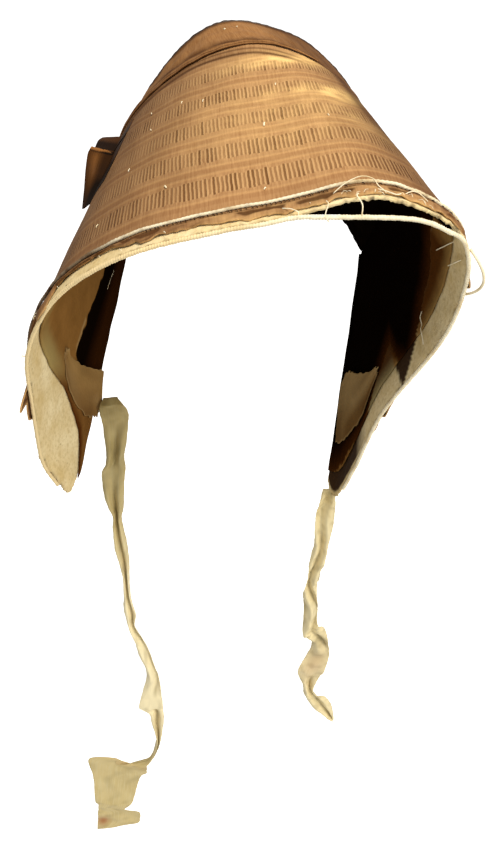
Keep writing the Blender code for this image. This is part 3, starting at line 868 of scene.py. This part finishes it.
row = np.linspace(1.3, LAST_ROW - 1.3, 2400)
ends = np.ones_like(row)
wire_path = form_point(row, ends, BOARD_DEPTH + BOARD_WALL / 2.0)
wire_path += form_frame(row, ends)[1] * (WIRE_RADIUS + GAP)
drop_place = np.clip((row - 8.0) * 5.0, 0.0, len(WIRE_DROPS) - 1.0)
wire_path[:, 2] -= curve_through(WIRE_DROPS, drop_place)[:, 0] / 1000.0
wire_path += 0.0003 * wander(row * 1.2, row * 0.2, 84)
wire = tube_surface(wire_path, WIRE_RADIUS * 0.94, 8, lambda way, angle:
                    0.10 * np.sin(way * TURN / 0.0016 + angle)
                    + 0.10 * waves(way * 160.0, angle, 87, 5))
add_surface("edge_wire", "bound", "cream_thread", wire, wire_binding, round_way=True,
            soil=np.repeat(0.9 * unit((8.2 - row) / 1.5), 8))


# Loose threads, stitches and the loop at the right
# The sewing that once held edge, binding and cord together: short stitches beside the
# cord, frayed ends, two ties across the gap above the wire and one long loop.

def merge_tubes(name, tubes, material, slot):
    """One piece from many small tubes, each (path, radius, sides)."""
    points, faces, count = [], [], 0
    for path, radius, sides in tubes:
        surface = tube_surface(path, radius, sides)
        faces += tube_faces(len(surface), sides, count)
        points.append(surface.reshape(-1, 3))
        count += len(surface) * sides
    finish_piece(new_piece(name, np.concatenate(points), faces, material), slot)


def path_columns(stations, count):
    """The columns of a smooth curve through stations, read at even places."""
    return curve_through(stations, np.linspace(0.0, len(stations) - 1.0, count)).T


def brim_path(stations, count):
    """A smooth path through (row, millimetres inside the edge, millimetres off the silk)."""
    row, inset, off = path_columns(stations, count)
    return form_point(row, from_edge(row, inset / 1000.0), -off / 1000.0)


stitches = []
random = np.random.default_rng(90)
for place in np.concatenate([np.arange(6.3, 8.5, 0.056), np.arange(8.7, 14.3, 0.23)]):
    place = place + random.uniform(-0.012, 0.012)
    inset = 10.0 + random.uniform(-0.2, 0.2)
    lean = random.uniform(0.008, 0.020)
    stitches.append((brim_path(((place, inset + 0.6, 1.0), (place + lean, inset - 0.2, 1.3),
                                (place + 1.5 * lean, inset - 1.0, 0.9)), 8), 0.00024, 5))
merge_tubes("cord_stitches", stitches, brown_thread, None)

# frays at the top: their path, its count of rings, their radius
FRAYS = (
    (((8.55, 6.0, 0.6), (8.7, 8.4, 3.0), (8.9, 10.4, 4.6), (9.05, 9.0, 4.0),
      (9.12, 6.2, 1.6), (9.2, 3.0, 0.6)), 40, 0.00028),
    (((8.45, 1.0, 0.8), (8.46, -2.0, 0.6), (8.40, -6.0, -2.0), (8.41, -10.0, -4.0)), 20, 0.00030),
    (((8.83, 1.5, 0.6), (8.80, -1.0, 0.8), (8.84, -5.0, -2.0), (8.80, -9.5, -5.5)), 20, 0.00034),
    (((9.10, 5.0, 0.6), (9.20, 2.0, 1.2), (9.32, 0.5, 1.0), (9.42, 3.0, 0.8)), 26, 0.00030),
    (((9.50, 4.0, 1.0), (9.62, 6.5, 2.4), (9.75, 7.2, 2.2), (9.88, 4.2, 1.2)), 26, 0.00026),
    (((7.95, 4.0, 0.9), (8.05, 1.2, 1.4), (8.12, -1.6, 0.4), (8.10, -3.4, -1.0)), 20, 0.00028),
)
frays = [(brim_path(stations, count), radius, 6) for stations, count, radius in FRAYS]
for _ in range(28):
    place = random.choice((random.uniform(6.2, 10.4), random.uniform(4.4, 6.4),
                           random.uniform(8.6, 10.2), random.uniform(1.2, 3.8)))
    inset = random.uniform(1.0, 6.0)
    swing, rise = random.uniform(-0.05, 0.05), random.uniform(0.2, 1.6)
    frays.append((brim_path(((place, inset, 0.4), (place + swing, inset - 1.5, 0.5 + rise),
                             (place + 1.8 * swing, inset - random.uniform(1.5, 4.0), rise)),
                            12), random.uniform(0.00010, 0.00020), 5))
merge_tubes("frayed_threads", frays, cream_thread, "cream_thread")

loop_rows = np.linspace(11.25, 12.12, 60)
loop_share = np.linspace(0.0, 1.0, 60)
loop_path = form_point(loop_rows, from_edge(
    loop_rows, 0.002 - 0.0090 * np.sin(np.pi * loop_share) ** 0.8), -0.0005)
loop_path[:, 0] += 0.004 * np.sin(np.pi * loop_share)
merge_tubes("loose_edge_loop", [(loop_path, 0.00085, 8)], cream_thread, "cream_thread")

# row and reach of the bits of pale lint caught on the silk
LINT = ((6.42, 0.769), (7.84, 0.549), (6.30, 0.303), (6.75, 0.343), (5.58, 0.248),
        (5.75, 0.378), (5.60, 0.569), (5.40, 0.799), (7.77, 0.875), (7.27, -0.634),
        (7.69, -0.669), (8.95, 0.52), (8.15, 0.31))
lint = []
for number, (place, reach) in enumerate(LINT):
    size = 1.0 + 0.6 * (number in (0, 1, 9))
    steps = np.linspace(-1.0, 1.0, 8)
    turn = random.uniform(0.0, 3.1)
    rows = place + 0.014 * size * steps * math.cos(turn)
    reaches = reach + 0.005 * size * steps * math.sin(turn) + 0.002 * np.sin(steps * 3.0)
    lint.append((form_point(rows, reaches, -0.0005 - 0.0004 * (1.0 - steps ** 2)),
                 0.00034 * size, 6))
merge_tubes("pale_lint", lint, cream_thread, "cream_thread")


def inner_path(stations, count):
    """A smooth path through (row, reach, millimetres inside the lining's face)."""
    row, reach, inside = path_columns(stations, count)
    return form_point(row, reach, LINING_DEPTH + 0.0015 + inside / 1000.0)


merge_tubes("lining_stitches", [
    (inner_path(((11.92, 0.78, 0.6), (11.55, 0.86, 1.2), (11.18, 0.935, 0.4)), 16), 0.00032, 6),
    (inner_path(((11.85, 0.895, 0.6), (11.64, 0.94, 1.0), (11.42, 0.985, 0.2)), 16), 0.00032, 6),
    (inner_path(((12.99, 0.829, 1.0), (13.03, 0.85, 2.2), (13.07, 0.88, 1.4),
                 (13.08, 0.90, 2.6), (13.11, 0.93, 1.8), (13.14, 0.96, 1.2)), 40), 0.00030, 6),
    (inner_path(((1.62, 0.205, 0.4), (1.72, 0.258, 1.0), (1.68, 0.295, 0.4)), 16), 0.00018, 5),
], cream_thread, "cream_thread")


# Crown
# A plain band of the brown silk round the back, closed by a flat tip with a piped rim. A
# folded strip covers the seam to the brim on the left and over the top.

CROWN_WALL = 0.0016
TIP_WALL = 0.0014
TIP_BULGE = 0.004
BAND_WALL = 0.0010
BAND_WIDTH = 0.0112
PIPING_RADIUS = 0.0014

plain_silk = silk_material("plain_silk_taffeta", "#996C41", "#784E2B", "#B98C5A", False)
# Near-black cotton on the inner faces of the crown: painted shade inside the bonnet
dark_inside = new_material("darkened_inner_cotton")
finish_material(dark_inside, "#0D0703", 1.0, 0.0)


def silk_place(row, reach):
    """UV of the plain silk in metres, as for the figured one."""
    around, distance = cloth_place(row, np.maximum(reach, 0.0))
    return around, distance - np.minimum(reach, 0.0) * 0.06


along, across = grid(420, 50)
row = along * LAST_ROW
_, seam_line, tip_line = form_lines(row)
crown_length = np.linalg.norm(tip_line - seam_line, axis=-1)
reach = -1.0 + across * (1.0 - GAP / crown_length)
inside = np.minimum(-reach, 1.0 + reach) * crown_length
relief = 0.0006 * waves(row * 1.6, reach * 2.4, 101) * unit(inside / 0.004)
# Painted shade: darker toward both sides where the light falls off, a soft shadow along the seam
# under the fold and a dark rim by the tip; the waves add random tone.
shade = 0.25 * unit((7.0 - row) / 1.5) + 0.75 * unit((row - 8.2) / 1.2)
shade += 0.95 * bell((reach + 0.03) * crown_length, 0.0080)
shade += 0.70 * bell((reach + 0.97) * crown_length, 0.0030)
shade += 0.14 * waves(row * 2.2, reach * 0.8, 102)
add_surface("crown_side", "silk", "plain_silk", form_point(row, reach, -relief), plain_silk,
            silk_place(row, reach), CROWN_WALL * 0.9, inside=dark_inside, shade=shade)

along, across = grid(360, 40)
tip_depth = CROWN_WALL + GAP
first, last = form_point(np.array([0.0, LAST_ROW]), -1.0, tip_depth)
arch = form_point(np.arange(LAST_ROW + 1.0), -1.0, tip_depth)
centre = (arch.max(axis=0) + arch.min(axis=0)) / 2.0
row = unit(along / 0.88) * LAST_ROW
chord = unit((along - 0.88) / 0.12)[..., None]
rim = form_point(row, -1.0, tip_depth)
rim = np.where(chord > 0.0, blend(last, first, chord), rim)
points = rim + (centre - rim) * across[..., None] * 0.995
bulge = TIP_BULGE * (1.0 - (1.0 - across) ** 2)
gathers = 0.0006 * np.sin(along * TURN * 34.0) * across ** 0.5 * (1.0 - across) ** 2
points[..., 1] += bulge + gathers + 0.0005 * waves(points[..., 0] * 30, points[..., 2] * 30, 9)
add_surface("crown_tip", "silk", "plain_silk", points, plain_silk,
            (points[..., 0], points[..., 2]), TIP_WALL * 0.9, inward=True, inside=dark_inside)

row = np.linspace(0.1, LAST_ROW - 0.1, 900)
ends = np.full_like(row, -1.0)
piping_path = form_point(row, ends, CROWN_WALL / 2.0)
piping_path -= form_frame(row, ends)[1] * (PIPING_RADIUS + GAP)
piping_path += 0.0002 * wander(row * 2.0, row, 110)
brown_piping = new_material("dark_brown_silk_piping")
finish_material(brown_piping, "#33200F", 0.6)
piping = tube_surface(piping_path, PIPING_RADIUS * 0.95, 10, lambda way, angle:
                      0.06 * np.sin(way * TURN / 0.006 + angle))
add_surface("crown_piping", "silk", "plain_silk", piping, brown_piping, round_way=True)

along, across = grid(300, 22)
row = 2.0 + along * 7.5
narrowing = 1.0 - 0.8 * unit((row - 5.5) / 4.0)
reach = GAP / brim_length(row) + BAND_WIDTH * narrowing / brim_length(row) * (
    across + 0.05 * waves(row * 2.0, across, 121) * across)
rolled = 0.0008 * np.sin(np.pi * across) ** 0.5 * (0.6 + 0.4 * narrowing)
rolled += 0.0005 * waves(row * 2.5, across * 1.4, 122) * np.sin(np.pi * across)
# Painted shade: a soft shadow where the band meets the seam, and darker toward the left. Two dark
# lines near the front edge mark its stitching.
shade = 0.95 * bell(0.985 - across, 0.07) + 0.80 * bell(0.73 - across, 0.07)
shade += bell(across, 0.34)
shade += 0.12 + 0.10 * waves(row * 2.4, across * 2.0, 123) * np.sin(np.pi * across)
shade += 0.30 * unit((6.6 - row) / 2.0)
add_surface("crown_band", "silk", "plain_silk",
            form_point(row, reach, -(BAND_WALL + GAP + rolled)), plain_silk,
            silk_place(row, reach), BAND_WALL * 0.8, shade=shade)


# Bow
# A single loop of darker brown ribbon that stands off the left side by the seam, its upper
# lip folded forward.

BOW_ROW = 4.3
BOW_LIFT = 0.0006
# reach of the root on the brim, then the free side in millimetres (across, along, up), from
# the hanging end over the lip and back inside to the top fold
BOW_ROWS = np.array((
    (0.460, -110.2, 1.3, -70.4), (0.380, -111.2, 17.6, -65.4), (0.320, -111.3, 28.9, -59.2),
    (0.270, -110.6, 37.0, -52.4), (0.230, -110.2, 44.2, -48.0), (0.205, -109.5, 48.3, -46.6),
    (0.195, -109.0, 52.3, -46.0), (0.200, -108.5, 54.3, -47.8), (0.205, -108.2, 57.3, -50.5),
    (0.180, -108.8, 66.4, -50.3), (0.145, -107.9, 75.5, -49.0), (0.110, -105.9, 83.7, -49.4),
))
bow_silk = new_material("dark_brown_silk_ribbon")
bow_colour = mixed(bow_silk, noise(bow_silk, on_piece(bow_silk), 90.0, 4.0), "#241104", "#54310F")
bow_colour = stained(bow_silk, bow_colour, (("pale", "#9C6836"), ("shade", "#120802")))
finish_material(bow_silk, bow_colour, 0.5, 0.05)

along, across = grid(200, 60)
across = across * 1.3 - 0.3
rows = curve_through(BOW_ROWS, along * (len(BOW_ROWS) - 1))
on_brim = BOW_ROW + 0.5 * unit(-across / 0.3)
root = form_point(on_brim, rows[..., 0], -BOW_LIFT)
free = rows[..., 1:] / 1000.0
share = unit(across)[..., None]
points = blend(root, free, share)
bulge = 0.0035 * np.sin(np.pi * share[..., 0] ** 0.8) * unit(1.0 - along * 1.8)
creases = 0.0007 * waves(along * 3.0, across * 2.5, 131) + 0.0006 * waves(
    along * 1.5, across * 7.0, 132)
points[..., 1] -= (bulge + creases) * share[..., 0]
# Painted shade inside the loop, by the brim, at the hanging end and under the lip; pale is a
# painted highlight on the lip and the middle of the loop.
inner = unit((along - 0.60) / 0.04) * unit((0.93 - along) / 0.05)
near_brim = unit((0.62 - across) / 0.35) * unit((0.52 - along) / 0.08)
lip = bell(along - 0.50, 0.045)
pale = 0.85 * lip + 0.30 * spot(across, along, (0.62, 0.30), (0.20, 0.14))
shade = 0.85 * inner + 0.60 * near_brim + 0.75 * unit((0.20 - along) / 0.14)
shade += 0.7 * bell(along - 0.43, 0.018)
add_surface("bow", "ribbon", "plain_silk", points, bow_silk, wall=0.0005, inward=True,
            pale=pale, shade=shade)


# Ties
# Two narrow silk ribbons, khaki and cream, creased into lengthwise pleats. The left one
# hangs from the torn flap and ends in a wide frayed patch, the right one from the cheek.

TIE_WIDTH = 0.020
RIBBON_COLUMNS = 44
PLEATS = 1.45
PLEAT_SHARE = 0.92
LEFT_TIE_LENGTH = 0.515
RIGHT_TIE_LENGTH = 0.267
# both sides of each ribbon from the top down in millimetres from the sewn end: across and
# up of the left side, then of the right side
LEFT_TIE_ROWS = np.array((
    (4.0, 5.6, 14.5, 6.8),
    (1.8, 2.9, 20.4, 3.4), (1.5, -2.6, 22.8, -3.4), (2.6, -13.2, 22.2, -11.8),
    (3.5, -34.3, 18.3, -32.9), (2.1, -48.0, 16.2, -43.4), (-1.9, -57.1, 16.9, -52.0),
    (-2.2, -71.0, 14.4, -67.7), (0.4, -88.0, 12.4, -89.5), (3.7, -97.2, 10.2, -98.0),
    (3.4, -110.0, 11.1, -108.3), (3.3, -128.0, 12.5, -123.0), (5.3, -146.6, 13.3, -141.3),
    (6.6, -162.1, 12.5, -158.9), (6.2, -181.6, 12.5, -181.6), (5.6, -195.8, 15.7, -198.9),
    (8.2, -214.8, 14.2, -210.5), (12.6, -234.0, 19.6, -225.5), (14.8, -249.5, 24.3, -241.9),
    (19.6, -265.3, 28.2, -260.3), (19.7, -276.9, 31.4, -276.9), (15.3, -293.3, 32.3, -293.3),
    (10.5, -314.3, 33.0, -310.6), (20.4, -320.6, 33.0, -320.6), (21.4, -333.8, 31.4, -339.2),
    (24.3, -358.2, 27.6, -360.9), (22.6, -369.5, 25.1, -372.3), (17.0, -386.7, 19.5, -390.5),
    (8.3, -394.4, 12.4, -400.4), (-17.3, -397.8, 12.0, -404.7), (-18.5, -390.1, 11.4, -409.0),
    (-43.9, -390.5, 10.5, -415.0), (-43.3, -419.0, 3.9, -422.0), (-44.0, -441.4, -1.1, -441.4),
    (-45.2, -463.2, -6.1, -461.6), (-42.9, -469.1, -11.5, -471.1), (-44.1, -477.7, -16.1, -478.6),
    (-45.1, -485.3, -2.2, -485.3), (-46.2, -494.8, -2.3, -499.8), (-47.6, -506.3, -5.8, -507.1),
    (-49.0, -517.7, -22.2, -510.2),
))
RIGHT_TIE_ROWS = np.array((
    (-6.0, 0.6, 2.0, 0.2),
    (-9.0, -9.7, 3.4, -10.2), (-11.1, -23.0, 3.2, -30.5), (-10.6, -51.7, 0.7, -47.4),
    (-13.9, -72.3, -1.8, -68.1), (-13.7, -88.9, -4.3, -88.9), (-16.7, -101.5, -6.1, -99.7),
    (-15.9, -122.9, -4.3, -122.9), (-15.3, -153.9, -3.4, -141.6), (-11.3, -157.0, 2.2, -147.1),
    (-6.9, -167.7, 6.5, -165.1), (-11.9, -183.4, 8.1, -184.6), (-18.4, -202.5, 3.6, -205.2),
    (-12.8, -223.2, -3.6, -225.8), (-10.4, -238.7, 2.7, -236.1), (1.2, -257.3, 12.3, -246.7),
    (15.7, -270.5, 16.6, -266.7),
))
# how far forward the ribbons hang: share of the length, then millimetres
LEFT_TIE_FORWARD = np.array(((-0.02, 0.0), (0.105, 5.0), (0.248, 15.0), (0.421, 26.0),
                             (0.576, 35.0), (0.735, 40.0), (1.0, 41.6)))
RIGHT_TIE_FORWARD = np.array(((0.0, 0.0), (0.257, -0.8), (0.558, 0.4), (0.77, 0.4), (1.0, 1.2)))


def ribbon_material():
    """Satin ribbon: fine lengthwise lines, khaki where soiled, cream where clean, painted shade in
    the creases and folds.
    """
    material = new_material("khaki_silk_ribbon")
    place, way, across = on_cloth(material)
    stretch = place_of(material, math_node(material, "MULTIPLY", way, 40.0),
                       math_node(material, "MULTIPLY", across, 900.0))
    lines = noise(material, stretch, 1.0, 2.0)
    colour = mixed(material, noise(material, place, 45.0, 4.0), "#B5A067", "#D8C48C")
    colour = mixed(material, ramped(material, lines, 0.42, 0.68, 0.55), colour, "#D0C294")
    colour = stained(material, colour, (
        ("clean", "#F3E6BE", 0.85), ("soiled", "#7A6A3C", 0.75), ("crease", "#77673B", 0.85),
        ("stain", "#A0602A")))
    finish_material(material, colour, 0.5, 0.3, lines, 0.0002)
    return material


khaki_ribbon = ribbon_material()


def add_ribbon_tie(node, top, table, forward, length, steps, seed, paint):
    """A hanging ribbon between the two sides of its table, pleated where it is narrow.

    With n pleats and a width w of a ribbon L wide, each pleat is sqrt(L^2 - w^2) / 4n deep.
    """
    along, across = grid(steps, RIBBON_COLUMNS)
    rows = curve_through(table, along * (len(table) - 1))
    width = np.hypot(rows[..., 2] - rows[..., 0], rows[..., 3] - rows[..., 1]) / 1000.0
    ragged = 0.00035 * waves(along * 90.0, across, seed + 3) + 0.0005 * waves(
        along * 25.0, across * 0.5, seed + 4)
    pull = across + (across - 0.5) * ragged / np.maximum(width, 0.002)
    x = blend(rows[..., 0], rows[..., 2], pull)
    z = blend(rows[..., 1], rows[..., 3], pull)
    pleats = 1.35 + 0.30 * waves(along * 3.0, along, seed)
    hidden = np.sqrt(np.clip(TIE_WIDTH ** 2 - width ** 2, 1e-6, None))
    depth = hidden / (4.0 * PLEATS) * PLEAT_SHARE
    phase = pleats * across * TURN + 2.6 * waves(along * 4.0, along * 0.5, seed + 1, 5)
    free = np.clip(along * 22.0, 0.05, 1.0)
    fold = free * (depth * np.sin(phase) + 0.0007 * waves(along * 16.0, across * 1.5, seed + 2))
    bent = 0.0012 * waves(along * 9.0, across * 0.2, seed + 5) * unit(along * 12)
    ahead = np.interp(-z / 1000.0 / length, forward[:, 0], forward[:, 1])
    rolled_back = 6.0 * unit(1.0 - along * (len(table) - 1))
    points = np.empty((*along.shape, 3))
    points[..., 0] = top[0] + x / 1000.0
    points[..., 1] = top[1] - (ahead - rolled_back) / 1000.0 - fold + bent
    points[..., 2] = top[2] + z / 1000.0
    # Painted shade in the valleys of the pleats, with random darker streaks
    crease = 0.50 * np.clip(along * 4.0, 0.35, 1.0) * unit(-np.sin(phase)) ** 2
    crease *= unit(depth / 0.0022)
    crease += 0.30 * unit(waves(along * 30.0, across * 2.0, seed + 7))
    way = way_along(points[:, RIBBON_COLUMNS // 2])
    uv = (np.repeat(way[:, None], across.shape[1], axis=1),
          (across - 0.5) * np.maximum(width, TIE_WIDTH))
    ribbon = add_surface(node, "ribbon", "cream_ribbon", points, khaki_ribbon, uv, 0.0004,
                         crease=crease, **paint(along, across))


def left_paint(along, across):
    """Khaki top, clean cream middle, and rust at the low left corner of the patch."""
    stain = 0.9 * spot(along, across, (0.965, 0.13), (0.018, 0.14))
    stain += 0.30 * spot(along, across, (0.735, 0.5), (0.02, 0.6))
    clean = unit((along - 0.24) / 0.12) * unit((0.66 - along) / 0.10)
    soiled = unit((0.24 - along) / 0.12)
    knot = 0.8 * spot(along, across, (0.035, 0.15), (0.02, 0.35))
    return {"stain": stain, "clean": clean, "soiled": soiled * 0.7 + knot}


def right_paint(along, across):
    """Cream all over, browner near the end, with painted shade inside the two folds there."""
    folds = 0.55 * spot(along, across, (0.61, 0.5), (0.02, 2.0)) + 0.35 * spot(
        along, across, (0.68, 0.5), (0.03, 0.5))
    return {"stain": 0.30 * spot(along, across, (0.72, 0.5), (0.06, 0.4)),
            "clean": 0.60 - 0.3 * unit((0.15 - along) / 0.1),
            "soiled": folds}


flap_corner = form_point(-0.10, 0.66, INNER_DEPTH + FLAP_CURL + FLAP_WALL + GAP)
add_ribbon_tie("tie_left", flap_corner + np.array([0.0, 0.0, 0.004]), LEFT_TIE_ROWS,
               LEFT_TIE_FORWARD, LEFT_TIE_LENGTH, 520, 141, left_paint)
low_rows = np.linspace(LAST_ROW - 1.0, LAST_ROW, 9)
cheek = form_point(low_rows, 1.0 - cheek_cut(low_rows), BOARD_DEPTH + BOARD_WALL)
right_top = cheek[np.argmin(cheek[:, 2])] - np.array([0.0, 0.0, GAP])
add_ribbon_tie("tie_right", right_top, RIGHT_TIE_ROWS, RIGHT_TIE_FORWARD,
               RIGHT_TIE_LENGTH, 300, 151, right_paint)


# Colour view
# The standard view transform shows the colours as they are.

bpy.context.scene.view_settings.view_transform = "Standard"
